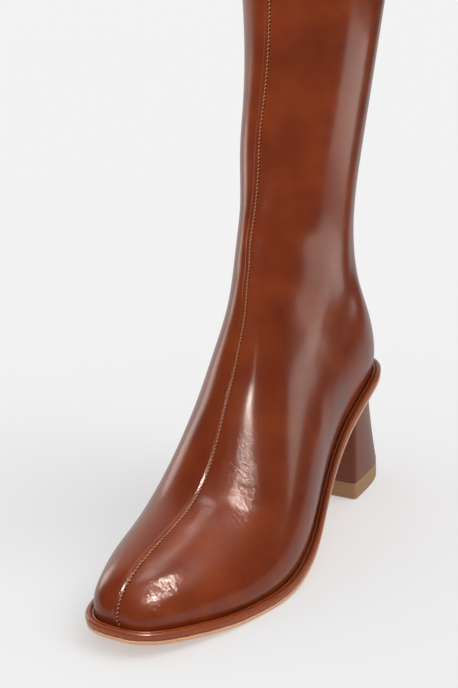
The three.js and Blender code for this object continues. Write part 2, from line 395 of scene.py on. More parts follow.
def boxCalf():
    # waxed box calf, glazed and polished: a deep even brown with a soft clear gloss over fine pores
    material, shader = newMaterial("waxedBoxCalf", {
        "Roughness": upperLook["roughness"],
        "IOR": 1.45,
        "Coat Weight": 0.25,
        "Coat Roughness": 0.12,
    })
    where = objectSpace(material)
    mottle = addNode(material, "ShaderNodeTexNoise", None, {
        "Vector": where, "Scale": 1000 / upperLook["mottleMm"], "Detail": 4, "Roughness": 0.55,
    })
    cloud = addNode(material, "ShaderNodeValToRGB", None, {"Fac": mottle.outputs["Fac"]})
    ramp = cloud.color_ramp
    ramp.elements[0].position, ramp.elements[0].color = 0.3, linear(upperLook["deep"])
    ramp.elements[1].position, ramp.elements[1].color = 0.72, linear(upperLook["warm"])
    ramp.elements.new(0.5).color = linear(upperLook["middle"])
    run = addNode(material, "ShaderNodeUVMap", {"uv_map": "leather"}).outputs["UV"]
    # the stitched channel beside the seam is darker: partly wax and polish gathered there, partly painted
    # shade of the stitch groove
    beside = addNode(material, "ShaderNodeSeparateXYZ", None, {"Vector": run}).outputs["X"]
    away = compute(material, "ABSOLUTE", compute(material, "SUBTRACT", beside, stitchLook["line"]))
    channel = fade(material, away, *upperLook["channelShadeMm"], upperLook["channel"], 0.0)
    dark = mixColour(material, channel, cloud.outputs["Color"], linear(upperLook["channelShadeHex"]))
    join(material, dark, shader.inputs["Base Color"])
    pores = addNode(material, "ShaderNodeTexVoronoi", {"feature": "F1"}, {
        "Vector": where, "Scale": 1000 / upperLook["grainMm"],
    })
    shallow = addNode(material, "ShaderNodeBump", None, {
        "Strength": 0.05, "Distance": 0.0001, "Height": pores.outputs["Distance"],
    })
    # flex creases, fine lines across the foot where the leather bends
    stretch = addNode(material, "ShaderNodeMapping", None, {"Vector": run, "Scale": (0.45, 1.0, 1.0)})
    lines = addNode(material, "ShaderNodeTexNoise", None, {
        "Vector": stretch.outputs["Vector"], "Scale": 1 / upperLook["wrinkleMm"], "Detail": 5,
        "Roughness": 0.62, "Distortion": 0.8,
    })
    flex = addNode(material, "ShaderNodeAttribute", {"attribute_name": "flex"})
    amount = compute(material, "MULTIPLY", lines.outputs["Fac"], flex.outputs["Fac"])
    creased = addNode(material, "ShaderNodeBump", None, {
        "Strength": 0.9, "Distance": 0.0008, "Height": amount, "Normal": shallow.outputs["Normal"],
    })
    join(material, creased.outputs["Normal"], shader.inputs["Normal"])
    join(material, creased.outputs["Normal"], shader.inputs["Coat Normal"])
    return material


finishColumns = "first second roughness grainMm coat".split()
plainFinishes = {
    # undyed lining, dull and pale where it shows inside the collar
    "liningLeather": ("#b08a68", "#a57f5e", 0.6, 0.9, 0.0),
    # glazed rand: a wet-looking brown that holds a thin bright line along each bead
    "glazedWeltLeather": ("#7d3413", "#8b3f1a", 0.26, 0.8, 0.4),
    # cut edge of the sole, natural and pinkish tan, with a low sheen from burnishing
    "naturalSoleLeather": ("#d8a27c", "#c68f69", 0.45, 0.5, 0.0),
    # sock, dull tan leather under the foot
    "sockLeather": ("#b98f6a", "#ab825e", 0.6, 0.9, 0.0),
    # leather stretched over the heel block, satin and a little redder than the upper
    "heelCoverLeather": ("#672b14", "#733519", 0.34, 0.8, 0.15),
    # rubber of the lift, an even khaki with hardly any shine
    "khakiRubber": ("#a07a55", "#94704d", 0.55, 0.4, 0.0),
}


def plainFinish(name):
    # one colour, softly uneven, over a fine grain
    look = dict(zip(finishColumns, plainFinishes[name]))
    material, shader = newMaterial(name, {
        "Roughness": look["roughness"], "IOR": 1.45, "Coat Weight": look["coat"], "Coat Roughness": 0.2,
    })
    where = objectSpace(material)
    noise = addNode(material, "ShaderNodeTexNoise", None, {"Vector": where, "Scale": 60, "Detail": 6})
    colour = mixColour(material, noise.outputs["Fac"], linear(look["first"]), linear(look["second"]))
    join(material, colour, shader.inputs["Base Color"])
    grain = addNode(material, "ShaderNodeTexNoise", None, {
        "Vector": where, "Scale": 1000 / look["grainMm"], "Detail": 3,
    })
    bump = addNode(material, "ShaderNodeBump", None, {
        "Strength": 0.25, "Distance": 0.0002, "Height": grain.outputs["Fac"],
    })
    join(material, bump.outputs["Normal"], shader.inputs["Normal"])
    return material


# Soft ridges (+) and troughs (-) of the leather, each along a path of (run, across) points:
# run from the toe along the front seam, across to the outer (+) or inner (-) side, all in mm.
creases = [
    {"path": [(289, 88), (270, 86), (253, 86), (231, 81), (212, 76), (200, 64)], "wide": 9, "deep": -0.8},
    {"path": [(268, 52), (240, 56), (214, 53), (188, 46), (166, 40)], "wide": 8, "deep": 0.6},
    {"path": [(208, -20), (213, -8), (216, 4), (218, 16), (222, 30)], "wide": 8, "deep": -0.8},
    {"path": [(232, -16), (232, 0), (234, 14), (238, 28), (248, 42)], "wide": 9, "deep": 0.6},
    {"path": [(192, 10), (173, 11.5), (160, 12.5), (146, 13.5)], "wide": 3.6, "deep": 0.2},
    {"path": [(136, 5.5), (124, 6), (113, 7), (100, 8), (88, 9)], "wide": 2.8, "deep": 0.25},
    {"path": [(82, 0), (85, 11), (88, 20), (92, 29), (99, 39), (108, 50)], "wide": 5.0, "deep": -0.8},
    {"path": [(70, 3), (74, 12), (79, 22)], "wide": 7, "deep": 0.6},
    {"path": [(17, 5), (20, 10), (25, 15), (31, 20), (38, 26), (46, 32)], "wide": 3.2, "deep": -0.32},
    {"path": [(24, 6), (31, 13), (38, 19), (46, 24)], "wide": 5, "deep": 0.3},
    {"path": [(188, 54), (172, 65), (156, 79)], "wide": 7, "deep": 0.35},
]
creaseTaper = (-0.02, 0.35)  # shares of a crease's length over which each of its ends fades out
# where fine wrinkles show: run, across, half length, half width, strength
flexZones = [
    (101, 25, 14, 10, 1.0), (122, 19, 16, 8, 0.45), (24, 21, 10, 8, 0.9), (74, 8, 10, 9, 0.3),
    (60, 5, 45, 35, 0.08), (205, 0, 40, 60, 0.06),
]


def upperGrid():
    t, outer, inner = formRows(0, form["gap"])
    start, end = outer, 2 * np.pi - inner
    perTurn = np.maximum(perTurnAt(t, np.pi), 1e-6)
    band = np.minimum(density["seamBand"] / perTurn, density["seamBandTurn"])[:, None]
    side, seam = density["sideColumns"], density["seamColumns"]
    u = np.arange(side)[None, :] / side
    v = np.arange(seam)[None, :] / seam
    w = np.arange(side + 1)[None, :] / side
    a, b = start[:, None], end[:, None]
    turn = np.concatenate([
        a + (np.pi - band - a) * u,
        np.pi - band + 2 * band * v,
        np.pi + band + (b - np.pi - band) * w,
    ], 1)
    return np.broadcast_to(t[:, None], turn.shape), turn, outer == 0


def walkedAlong(line):
    return np.concatenate([[0], np.cumsum(np.linalg.norm(np.diff(line, axis=0), axis=-1))])


seamColumn = density["sideColumns"] + density["seamColumns"] // 2


def surfaceRun(points):
    # millimetres from the toe along the front seam, and across from it over the surface
    steps = np.linalg.norm(np.diff(points, axis=1), axis=-1)
    walked = np.concatenate([np.zeros((len(points), 1)), np.cumsum(steps, 1)], 1)
    across = walked[:, [seamColumn]] - walked
    run = walkedAlong(points[:, seamColumn])
    return np.broadcast_to(run[:, None], across.shape), across


def creaseHeight(points, run, across):
    # height of all the soft creases at every point of the grid
    total = np.zeros(run.shape)
    walked = run[:, 0]
    for crease in creases:
        path = np.array(crease["path"], float)
        knots = np.arange(len(path))
        fine = np.linspace(0, len(path) - 1, 40)
        samples = np.stack([cubic(knots, path[:, k])(fine) for k in (0, 1)], -1)
        spots = []
        for r, side in samples:
            row = np.clip(np.searchsorted(walked, r), 1, len(walked) - 1)
            share = (r - walked[row - 1]) / (walked[row] - walked[row - 1])
            ends = [
                [np.interp(-side, -across[k], points[k, :, axis]) for axis in range(3)]
                for k in (row - 1, row)
            ]
            spots.append((1 - share) * np.array(ends[0]) + share * np.array(ends[1]))
        spots = np.array(spots)
        reach = 3 * crease["wide"]
        near = np.all((points > spots.min(0) - reach) & (points < spots.max(0) + reach), axis=-1)
        start, way = spots[:-1], np.diff(spots, axis=0)
        arm = points[near][:, None] - start[None]
        along = np.clip((arm * way).sum(-1) / (way * way).sum(-1), 0, 1)
        gaps = np.linalg.norm(arm - along[..., None] * way, axis=-1)
        nearest = gaps.argmin(1)
        share = (nearest + along[np.arange(len(nearest)), nearest]) / len(way)
        ends = smoothStep(share, *creaseTaper) * smoothStep(1 - share, *creaseTaper)
        total[near] += crease["deep"] * np.exp(-((gaps.min(1) / crease["wide"]) ** 2)) * ends
    return total


seamLook = {  # millimetres, places beside the front seam on its outer (+) or inner (-) side
    "ridgeHigh": 0.34,  # the lapped edge
    "ridgeStart": (-2.3, -0.9),
    "ridgeEnd": (-0.25, 0.2),
    "channelDeep": 0.3,  # where the stitches sink in
    "channelAt": 0.95,
    "channelWide": 0.75,
    "fadeAboveSole": (0.5, 4),
    "frontTurn": 0.7,  # radians to each side within which the seam is looked for
    "tipRun": 3,  # it is looked for all round up to here, so that it runs on below the toe's tip
    "backDeep": 0.28,  # the closed seam at the back
    "backWide": 0.7,
    "backFrom": 74,  # height where it leaves the heel seat
}
upperEdge = {  # millimetres
    "foldsFade": (2, 14),  # above the sole, so that the leather meets the welt evenly
    "foldsFadeBelow": 130,  # height over the floor up to which they fade so
    "liningFrom": 6,  # above the sole, where the inside starts to follow the folds
    "rimAngles": (35, 65, 90, 115, 145),
}


def seamRelief(t, turn, base, run, aboveSole):
    # height of the front and back seams over the leather, from the signed distance to each
    atSeam = t[:, seamColumn]
    step = unit(formPoint(atSeam, np.pi - smallStep) - formPoint(atSeam, np.pi + smallStep))
    fromSeam = ((base - base[:, [seamColumn]]) * step[:, None]).sum(-1)
    farAway = 99
    atFront = (np.abs(turn - np.pi) < seamLook["frontTurn"]) | (run < seamLook["tipRun"])
    fromSeam = np.where(atFront, fromSeam, farAway)
    ridge = smoothStep(fromSeam, *seamLook["ridgeStart"])
    ridge = ridge * (1 - smoothStep(fromSeam, *seamLook["ridgeEnd"]))
    channel = np.exp(-((fromSeam - seamLook["channelAt"]) / seamLook["channelWide"]) ** 2)
    front = seamLook["ridgeHigh"] * ridge - seamLook["channelDeep"] * channel
    front *= smoothStep(aboveSole, *seamLook["fadeAboveSole"])
    fromBack = np.minimum(turn, 2 * np.pi - turn) * perTurnAt(t, 0)
    groove = -seamLook["backDeep"] * np.exp(-((fromBack / seamLook["backWide"]) ** 2))
    return front + np.where(base[..., 2] > seamLook["backFrom"], groove, 0)


def collarRim(outside, inside):
    # rounded edge from the outside over to the lining
    middle = (outside + inside) / 2
    arm = (outside - inside) / 2
    rim = []
    for angle in np.radians(upperEdge["rimAngles"]):
        row = middle + arm * math.cos(angle)
        row[:, 2] += form["wall"] / 2 * math.sin(angle)
        rim.append(row)
    return rim


def makeUpper(leather, lining):
    t, turn, closed = upperGrid()
    base = formPoint(t, turn)
    run, across = surfaceRun(base)
    out = -inwards(t, turn)
    aboveSole = base[..., 2] - soleHeight(-base[..., 1])
    nearSole = base[..., 2] < upperEdge["foldsFadeBelow"]
    share = np.where(nearSole, smoothStep(aboveSole, *upperEdge["foldsFade"]), 1.0)
    folds = creaseHeight(base, run, across) * share
    relief = folds + seamRelief(t, turn, base, run, aboveSole)
    outside = base + out * relief[..., None]
    inside = base + out * (folds - form["wall"])[..., None]
    followsEdge = aboveSole[..., None] < upperEdge["liningFrom"]
    inside = np.where(followsEdge, liningEdge(form["wall"]), inside)
    outside[-1, :, 2] = inside[-1, :, 2] = sections[-1][1] - form["wall"] / 2
    rim = collarRim(outside[-1], inside[-1])
    return upperMesh(outside, inside, rim, closed, run, across, leather, lining)


def liningEdge(depth):
    # inner skin on its own rows, so that its lower edge also stops at the sole
    t, outer, inner = formRows(depth, form["gap"])
    start, end = outer[:, None], 2 * np.pi - inner[:, None]
    n = 2 * density["sideColumns"] + density["seamColumns"]
    turn = start + (end - start) * np.arange(n + 1)[None, :] / n
    return offsetPoint(np.broadcast_to(t[:, None], turn.shape), turn, depth)


def upperMesh(outside, inside, rim, closed, run, across, leather, lining):
    rows, columns = outside.shape[:2]
    coarse = density["liningStep"]
    layers = [outside.reshape(-1, 3), inside.reshape(-1, 3)] + rim
    points = np.concatenate(layers)
    index = np.arange(rows * columns).reshape(rows, columns)
    index[0] = index[0, 0]
    index[closed, -1] = index[closed, 0]
    inner = index + rows * columns
    faces, uv, kind = [], [], []
    flatRun, flatAcross = run.ravel(), across.ravel()

    def add(ids, where, material):
        clean = list(dict.fromkeys(ids))
        if len(clean) < 3:
            return
        faces.append(clean)
        seen = dict(zip(ids, where))
        uv.extend((flatAcross[seen[i]], flatRun[seen[i]]) for i in clean)
        kind.append(material)

    plain = np.arange(rows * columns).reshape(rows, columns)
    for i in range(rows - 1):
        for j in range(columns - 1):
            cells = ((i + 1, j), (i + 1, j + 1), (i, j + 1), (i, j))
            add([index[c] for c in cells], [plain[c] for c in cells], 0)
    rowCuts = [*range(0, rows - 1, coarse), rows - 1]
    columnCuts = [*range(0, columns - 1, coarse), columns - 1]
    for i0, i1 in zip(rowCuts, rowCuts[1:]):
        for j0, j1 in zip(columnCuts, columnCuts[1:]):
            # a face on an open edge takes in each row or column there, so that no gap opens
            cells = [(i0, j0), (i0, j1)]
            if j1 == columns - 1:
                cells += [(i, j1) for i in range(i0 + 1, i1)]
            cells += [(i1, j1)]
            if i1 == rows - 1:
                cells += [(i1, j) for j in range(j1 - 1, j0, -1)]
            cells += [(i1, j0)]
            if j0 == 0:
                cells += [(i, j0) for i in range(i1 - 1, i0, -1)]
            add([inner[c] for c in cells], [plain[c] for c in cells], 1)
    first, last = density["toeRows"], density["toeRows"] + density["footRows"]
    for i in range(first, last):
        for j, order in ((0, 1), (columns - 1, -1)):
            ids = [index[i, j], index[i + 1, j], inner[i + 1, j], inner[i, j]][::order]
            add(ids, [plain[i, j]] * 4, 1)
    start = 2 * rows * columns
    loops = [index[-1]]
    for k in range(len(rim)):
        loop = start + k * columns + np.arange(columns)
        loop[-1] = loop[0]
        loops.append(loop)
    loops.append(inner[-1])
    for low, high in zip(loops, loops[1:]):
        for j in range(columns - 1):
            add([high[j], high[j + 1], low[j + 1], low[j]], [plain[-1, j]] * 4, 0)
    piece = meshPiece("upper", points, faces, [leather, lining], kind, uv)
    addFlex(piece, points, faces, flatRun, flatAcross, rows * columns)
    return piece


def addFlex(piece, points, faces, run, across, count):
    used = np.unique(np.concatenate([np.asarray(f) for f in faces]))
    value = np.zeros(len(points))
    for middle, side, long, wide, strength in flexZones:
        value[:count] += strength * np.exp(-(((run - middle) / long) ** 2) - ((across - side) / wide) ** 2)
    attribute = piece.data.attributes.new("flex", "FLOAT", "POINT")
    attribute.data.foreach_set("value", np.clip(value[used], 0, 1.2).astype(np.float32))


def seamTurn(t, low, high, rising):
    # turn between low and high at which the surface is as far out as the line of stitches
    def isInside(turn):
        return section["half"](t) * acrossShare(t, turn) < stitchLook["line"]

    return bisect(np.full(len(t), low), np.full(len(t), high), lambda turn: isInside(turn) == rising)


def stitchPath():
    # line of the stitches from the welt at the toe up to the collar, with the way out of the leather
    toe = formRows(0, form["gap"])[0][density["toeRows"]]
    fine = np.linspace(0, toe, 400)[1:]
    justOutside = 1.02  # the tip's first section wide enough to hold the line
    first = fine[np.argmax(section["half"](fine) > stitchLook["line"] * justOutside)]
    below = np.linspace(toe - stitchLook["aboveWelt"], first, 40)
    shaft = np.linspace(toe, lastPlace - stitchLook["belowCollar"], 900)
    above = np.concatenate([np.linspace(first, toe, 40)[1:], shaft[1:]])
    turnBelow = seamTurn(below, 0, np.pi / 2, True)
    turnAbove = seamTurn(above, np.pi / 2, np.pi, False)
    return np.concatenate([below, above]), np.concatenate([turnBelow, turnAbove]), len(below)


stitchPlaces, stitchTurns, stitchBelow = stitchPath()
stitchWalk = walkedAlong(formPoint(stitchPlaces, stitchTurns))
stitchCount = round(stitchWalk[-1] / stitchLook["pitch"])
stitchPitch = stitchWalk[-1] / stitchCount


def setInputs(modifier, tree, values):
    for item in tree.interface.items_tree:
        if item.item_type == "SOCKET" and item.in_out == "INPUT" and item.name in values:
            modifier[item.identifier] = values[item.name]


def repeatTree(name, instance, extra):
    # puts one shape at even steps along a line, its x along the line and its z out of the leather
    tree = bpy.data.node_groups.new(name, "GeometryNodeTree")
    inputs = {"Geometry": "Geometry", "Count": "Int", "Material": "Material", **extra}
    for label, kind in inputs.items():
        tree.interface.new_socket(label, in_out="INPUT", socket_type="NodeSocket" + kind)
    tree.interface.new_socket("Geometry", in_out="OUTPUT", socket_type="NodeSocketGeometry")
    given = addNode(tree, "NodeGroupInput").outputs
    curve = addNode(tree, "GeometryNodeMeshToCurve", None, {"Mesh": given["Geometry"]})
    even = addNode(tree, "GeometryNodeResampleCurve", None, {
        "Curve": curve.outputs["Curve"], "Count": given["Count"],
    })
    out = addNode(tree, "GeometryNodeInputNamedAttribute", {"data_type": "FLOAT_VECTOR"}, {"Name": "out"})
    way = addNode(tree, "GeometryNodeInputTangent")
    turned = addNode(tree, "FunctionNodeAxesToRotation", {"primary_axis": "Z", "secondary_axis": "X"}, {
        "Primary Axis": out.outputs["Attribute"], "Secondary Axis": way.outputs["Tangent"],
    })
    shape = instance(tree, given)
    placed = addNode(tree, "GeometryNodeInstanceOnPoints", None, {
        "Points": even.outputs["Curve"], "Instance": shape, "Rotation": turned.outputs["Rotation"],
    })
    real = addNode(tree, "GeometryNodeRealizeInstances", None, {"Geometry": placed.outputs["Instances"]})
    dressed = addNode(tree, "GeometryNodeSetMaterial", None, {
        "Geometry": real.outputs["Geometry"], "Material": given["Material"],
    })
    addNode(tree, "NodeGroupOutput", None, {"Geometry": dressed.outputs["Geometry"]})
    return tree


def threadShape(tree, given):
    # a short arch of thread that dives into the leather at both ends
    crown = compute(tree, "MULTIPLY", given["Thick"], 1.1)
    dive = compute(tree, "MULTIPLY", given["Thick"], -0.75)
    back, ahead = [compute(tree, "MULTIPLY", given["Length"], share) for share in (-0.5, 0.5)]
    start = addNode(tree, "ShaderNodeCombineXYZ", None, {"X": back, "Z": dive})
    middle = addNode(tree, "ShaderNodeCombineXYZ", None, {"Z": crown})
    end = addNode(tree, "ShaderNodeCombineXYZ", None, {"X": ahead, "Z": dive})
    arch = addNode(tree, "GeometryNodeCurveQuadraticBezier", None, {
        "Resolution": 7, "Start": start.outputs[0], "Middle": middle.outputs[0], "End": end.outputs[0],
    })
    circle = addNode(tree, "GeometryNodeCurvePrimitiveCircle", None, {
        "Resolution": 7, "Radius": compute(tree, "MULTIPLY", given["Thick"], 0.5),
    })
    tube = addNode(tree, "GeometryNodeCurveToMesh", None, {
        "Curve": arch.outputs["Curve"], "Profile Curve": circle.outputs["Curve"], "Fill Caps": True,
    })
    lean = addNode(tree, "ShaderNodeCombineXYZ", None, {"Z": given["Lean"]})
    turned = addNode(tree, "GeometryNodeTransform", None, {
        "Geometry": tube.outputs["Mesh"], "Rotation": lean.outputs[0],
    })
    smooth = addNode(tree, "GeometryNodeSetShadeSmooth", None, {"Geometry": turned.outputs["Geometry"]})
    return smooth.outputs["Geometry"]


def holeShape(tree, given):
    # a small dark dimple between two stitches, coloured with painted shade for the inside of a needle hole
    ball = addNode(tree, "GeometryNodeMeshUVSphere", None, {"Segments": 8, "Rings": 4, "Radius": 1.0})
    step = addNode(tree, "ShaderNodeCombineXYZ", None, {"X": given["Step"], "Y": given["Aside"]})
    placed = addNode(tree, "GeometryNodeTransform", None, {
        "Geometry": ball.outputs["Mesh"], "Scale": given["Size"], "Translation": step.outputs[0],
    })
    smooth = addNode(tree, "GeometryNodeSetShadeSmooth", None, {"Geometry": placed.outputs["Geometry"]})
    return smooth.outputs["Geometry"]


def lineObject(name, points, out):
    mesh = bpy.data.meshes.new(name)
    mesh.from_pydata((points / 1000 + origin).tolist(), [(i, i + 1) for i in range(len(points) - 1)], [])
    attribute = mesh.attributes.new("out", "FLOAT_VECTOR", "POINT")
    attribute.data.foreach_set("vector", out.astype(np.float32).ravel())
    return place(name, mesh)


def runTree(name, points, out, tree, values):
    line = lineObject(name + "Line", points, out)
    modifier = line.modifiers.new("repeat", "NODES")
    modifier.node_group = tree
    setInputs(modifier, tree, values)
    evaluated = line.evaluated_get(bpy.context.evaluated_depsgraph_get())
    mesh = bpy.data.meshes.new_from_object(evaluated)
    mesh.name = name
    line.modifiers.remove(modifier)
    bpy.data.objects.remove(line)
    return place(name, mesh)


def linenThread():
    # waxed linen thread: matt, paler than the leather, with the twist of its plies
    material, shader = newMaterial("waxedLinenThread", {"Roughness": 0.6, "IOR": 1.5, "Sheen Weight": 0.2})
    where = objectSpace(material)
    twist = addNode(material, "ShaderNodeTexNoise", None, {"Vector": where, "Scale": 900, "Detail": 2})
    first, second = linear(stitchLook["thread"]), linear(stitchLook["threadSecond"])
    join(material, mixColour(material, twist.outputs["Fac"], first, second), shader.inputs["Base Color"])
    bump = addNode(material, "ShaderNodeBump", None, {
        "Strength": 0.5, "Distance": 0.0002, "Height": twist.outputs["Fac"],
    })
    join(material, bump.outputs["Normal"], shader.inputs["Normal"])
    return material


def needleHole():
    # the shade inside a needle hole
    material, shader = newMaterial("needleHoleShade", {"Roughness": 0.9, "Specular IOR Level": 0.1})
    where = objectSpace(material)
    noise = addNode(material, "ShaderNodeTexNoise", None, {"Vector": where, "Scale": 700})
    shade = mixColour(material, noise.outputs["Fac"], linear("#2c0f06"), linear("#3a160a"))
    join(material, shade, shader.inputs["Base Color"])
    return material


def makeSeamThread():
    # stitches and holes ride on the folds, whose height is taken from the grid's nearest column
    t, turn = upperGrid()[:2]
    base = formPoint(t, turn)
    run, across = surfaceRun(base)
    folds = creaseHeight(base, run, across)
    columnWide = 2 * density["seamBand"] / density["seamColumns"]
    column = seamColumn - round(stitchLook["line"] / columnWide)
    lift = np.interp(stitchPlaces, t[:, column], folds[:, column])
    lift[:stitchBelow] = 0
    out = -inwards(stitchPlaces, stitchTurns)
    points = formPoint(stitchPlaces, stitchTurns) + out * lift[:, None]
    sizes = {"Length": "Float", "Thick": "Float", "Lean": "Float"}
    tree = repeatTree("stitchesAlongSeam", threadShape, sizes)
    thread = runTree("seam_stitches", points, out, tree, {
        "Count": stitchCount + 1,
        "Length": stitchLook["length"] / 1000,
        "Thick": stitchLook["thick"] / 1000,
        "Lean": -math.radians(stitchLook["lean"]),
        "Material": linenThread(),
    })
    sizes = {"Size": "Vector", "Step": "Float", "Aside": "Float"}
    tree = repeatTree("holesAlongSeam", holeShape, sizes)
    holes = runTree("needle_holes", points, out, tree, {
        "Count": stitchCount + 1,
        "Size": tuple(v / 1000 for v in stitchLook["hole"]),
        "Step": stitchPitch / 2000,
        "Aside": -stitchLook["holeAside"] / 1000,
        "Material": needleHole(),
    })
    return thread, holes


weltLook = {  # millimetres; a bead's middle is its reach and height, and its arc is in degrees
    "gapToUpper": 0.5,
    "featherLine": 3.2,  # height above the sole where the welt and the sole take their outline
    "reach": 5.4,
    "crevice": 1.9,  # height of its wall beside the upper, above the sole
    "innerBead": {"middle": (1.2, 2.9), "size": (0.85, 1.05), "from": 200, "to": -10},
    "outerBead": {"middle": (3.7, 2.4), "size": (1.7, 1.9), "from": 190, "to": -35},
    "beadLines": 15,
    "tuck": 0.55,  # how far inside its reach it meets the sole
}


def makeWelt(leather):
    base = outline(0, weltLook["featherLine"])
    lines = [
        outline(-weltLook["gapToUpper"], form["gap"]),
        outline(-weltLook["gapToUpper"], weltLook["crevice"]),
    ]
    for name in ("innerBead", "outerBead"):
        bead = weltLook[name]
        (reach, height), (wide, tall) = bead["middle"], bead["size"]
        for angle in np.radians(np.linspace(bead["from"], bead["to"], weltLook["beadLines"])):
            lines.append(spread(base, reach + wide * math.cos(angle), height + tall * math.sin(angle)))
    lines.append(spread(base, weltLook["reach"] - weltLook["tuck"], form["gap"]))
    return ringPiece("welt", lines[::-1], [leather], caps=False)


soleLook = {  # millimetres
    "thick": 2.8,
    # the rounded edge from underneath to the top: how far inside the welt, how far below the top
    "edge": [
        (2.6, 2.8), (1.7, 2.6), (0.95, 2.2), (0.5, 1.7), (0.34, 1.1), (0.36, 0.4), (0.5, 0.05), (0.9, 0),
    ],
}


def makeOutsole(edge):
    base = outline(0, weltLook["featherLine"])
    lines = [spread(base, weltLook["reach"] - inset, -down) for inset, down in soleLook["edge"]]
    return ringPiece("outsole", lines, [edge])


sockLook = {"inset": 0.8, "thick": 2.2}  # millimetres, inside the lining


def makeInsole(leather):
    inset = form["wall"] + sockLook["inset"]
    heights = form["gap"], form["gap"] + sockLook["thick"]
    return ringPiece("sock", [outline(inset, height) for height in heights], [leather], smooth=60)


heelLook = {  # millimetres
    # breast and back forward of the heel's back, half width, and roundness of the back (2 is an ellipse)
    "seat": [46, 0, 28, 2.4],
    "foot": [49, -4.5, 29, 3.4],
    "corner": 2.2,
    "breastPoint": 0.4,  # share of the half width, one more point on the straight breast
    "flare": 1.8,
    "levels": 28,
    "sidePoints": 44,
    "cornerPoints": 7,
    "hemFrom": 0.55,  # the cover's lower edge turns in from this height above the foot
    "hem": [(0.12, 0.16), (0.45, 0)],  # inset and height above the foot
}
liftLook = {  # millimetres
    "height": 11,
    "lowEdge": [(0.5, 0), (0.12, 0.14), (0, 0.5)],  # inset and height
    "highEdge": [(0, 0.4), (0.1, 0.1), (0.4, 0)],  # inset and how far below the top
}


def heelOutline(down, inset=0.0):
    # plan of the heel at a share of the way down from the seat (0) to the foot (1)
    mix = [a + (b - a) * down for a, b in zip(heelLook["seat"], heelLook["foot"])]
    breast, back, half, roundness = mix
    breast, back, half = breast - inset, back + inset, half - inset
    corner = heelLook["corner"]
    angle = np.linspace(0, np.pi / 2, heelLook["sidePoints"])
    power = 2 / roundness
    x = -half * np.sin(angle) ** power
    f = breast - corner - (breast - corner - back) * np.cos(angle) ** power
    turn = np.linspace(0, np.pi / 2, heelLook["cornerPoints"])[1:]
    xc = -(half - corner) - corner * np.cos(turn)
    fc = breast - corner + corner * np.sin(turn)
    x = np.concatenate([x, xc, [-half * heelLook["breastPoint"], 0.0]])
    f = np.concatenate([f, fc, [breast, breast]])
    side = np.stack([x, -f], -1)
    mirrored = side[1:-1][::-1] * [-1, 1]
    return np.concatenate([side, mirrored])


def levelLine(plan, height):
    return np.column_stack([plan, np.full(len(plan), float(height))])


def makeHeel(leather):
    foot = liftLook["height"] + form["gap"]
    lines = []
    for level in range(heelLook["levels"] + 1):
        down = level / heelLook["levels"]
        plan = heelOutline(down ** heelLook["flare"])
        seat = soleHeight(-plan[:, 1]) - soleLook["thick"] - form["gap"]
        lines.append(np.column_stack([plan, seat + (foot - seat) * down]))
    lines[-1][:, 2] += heelLook["hemFrom"]
    lines += [levelLine(heelOutline(1, inset), foot + rise) for inset, rise in heelLook["hem"]]
    return ringPiece("heel", lines[::-1], [leather], smooth=50)


def makeLift(rubber):
    top = liftLook["height"]
    profile = liftLook["lowEdge"] + [(inset, top - down) for inset, down in liftLook["highEdge"]]
    lines = [levelLine(heelOutline(1, inset), height) for inset, height in profile]
    return ringPiece("top_lift", lines, [rubber], smooth=50)


calf = boxCalf()
finish = {name: plainFinish(name) for name in plainFinishes}
boot = []
for piece, node, slot in (
    (makeUpper(calf, finish["liningLeather"]), "upper", "upper_leather"),
    (makeWelt(finish["glazedWeltLeather"]), "welt", "welt_leather"),
    (makeOutsole(finish["naturalSoleLeather"]), "outsole", "sole_leather"),
    (makeInsole(finish["sockLeather"]), "insole", "insole_leather"),
    (makeHeel(finish["heelCoverLeather"]), "heel", "heel_leather"),
    (makeLift(finish["khakiRubber"]), "top_lift", "lift_rubber"),
):
    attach(piece, "root")
    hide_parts(node)
    boot.append(piece)
    print(piece.name, "built,", len(piece.data.polygons), "faces")
for piece in makeSeamThread():
    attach(piece, "root")
    boot.append(piece)
    print(piece.name, "built,", len(piece.data.polygons), "faces")

studio = {  # metres and degrees
    "floorHex": "#b4b4b4",
    "floorGlow": 0.38,
    "floorRadius": 12.0,
    "floorCorners": 64,
    "floorLow": 0.0002,  # how far the floor lies under the boot
    "seenWorld": 0.892,
    "softWorld": 0.86,  # light that falls on everything from all round
    # what the gloss mirrors; backEdge is the cosine of the angle from the back, zenithEdge the
    # height of a direction one long
    "mirrored": {
        "front": 0.03, "back": 0.75, "zenith": 0.45,
        "backAt": (-150, 5), "backEdge": (0.45, 0.8), "zenithEdge": (0.72, 0.97),
    },
    "mirroredHex": "#fff4ea",
    # painted reflection of the floor: glow strengths that only the gloss sees, near the boot and far from
    # it
    "floorGlowForGloss": {"near": 0.6, "far": 0.04, "ahead": (0.16, 0.45), "aside": (0.14, 0.3)},
    # azimuth from the toe's side towards +X; a card faces a point of the form, or the boot's middle
    "cardColumns": "name azimuth elevation distance width height radiance spread aim rays".split(),
    "cards": [
        ("keyLight", 48, 56, 0.5, 0.08, 0.08, 0.9, 20, (0.005, -0.214, 0.03), "all"),
        ("glintLight", 44, 55, 0.5, 0.08, 0.08, 3.0, 17, (0.012, -0.207, 0.033), "gloss"),
        ("shaftFill", 10, 15, 0.7, 0.3, 0.3, 0.55, 38, (0, -0.08, 0.24), "diffuse"),
        ("topLight", -80, 78, 1.5, 0.5, 0.5, 4.4, 180, None, "all"),
        ("rightCard", 121, 0, 0.3, 0.25, 0.11, 2.5, 180, (0.03, -0.06, 0.16), "all"),
        ("leftCard", -98, -10, 0.75, 0.2, 0.36, 2.2, 180, None, "all"),
    ],
    "shadeSun": {"azimuth": 112, "elevation": 52, "spread": 38, "strength": 1.04},
}
low, high = cadBox
centre = Vector([(a + b) / 2 for a, b in zip(low, high)])


def direction(azimuth, elevation):
    a, e = math.radians(azimuth), math.radians(elevation)
    return Vector((math.sin(a) * math.cos(e), -math.cos(a) * math.cos(e), math.sin(e)))


